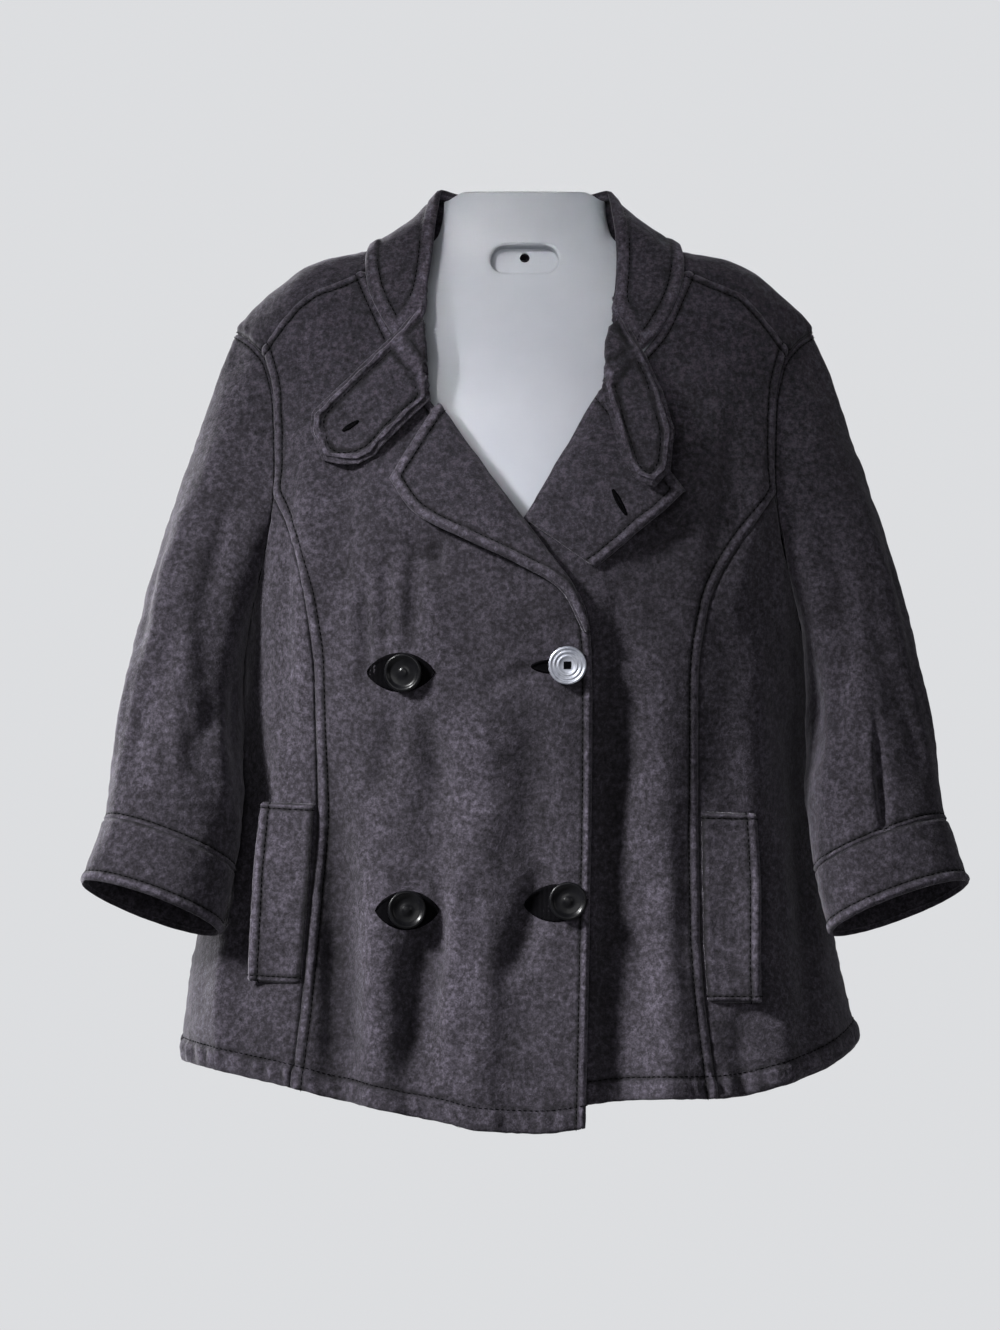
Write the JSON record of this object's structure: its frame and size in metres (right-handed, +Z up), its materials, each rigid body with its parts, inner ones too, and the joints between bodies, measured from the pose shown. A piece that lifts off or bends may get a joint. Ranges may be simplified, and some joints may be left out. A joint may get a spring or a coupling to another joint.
{
  "type": "double-breasted jacket on a hanging torso form",
  "caption": "Charcoal heather double-breasted jacket with wide collar, notched lapels and turned cuffs, hung on a white half-torso form.",
  "frame": {"origin": "upper edge of the form's hanging slot, at the middle of the neck", "axes": "+X to the right of someone facing the jacket, -Y towards them, +Z up"},
  "size_m": [0.606, 0.1457, 0.6421],
  "materials": {
    "charcoal_fleece": "matte",
    "button_black": "glossy",
    "button_silver": "satin",
    "white_plastic": "satin"
  },
  "bodies": {
    "root": {"front_right": "charcoal_fleece", "front_left": "charcoal_fleece", "side_front_right": "charcoal_fleece", "side_front_left": "charcoal_fleece", "back": "charcoal_fleece", "sleeve_right": "charcoal_fleece", "sleeve_left": "charcoal_fleece", "cuff_right": "charcoal_fleece", "cuff_left": "charcoal_fleece", "collar": "charcoal_fleece", "lapel_right": "charcoal_fleece", "lapel_left": "charcoal_fleece", "pocket_welt_right": "charcoal_fleece", "pocket_welt_left": "charcoal_fleece", "button_upper_outer": "button_black", "button_upper_edge": "button_silver", "button_lower_outer": "button_black", "button_lower_edge": "button_black", "form": "white_plastic"}
  },
  "joints": []
}
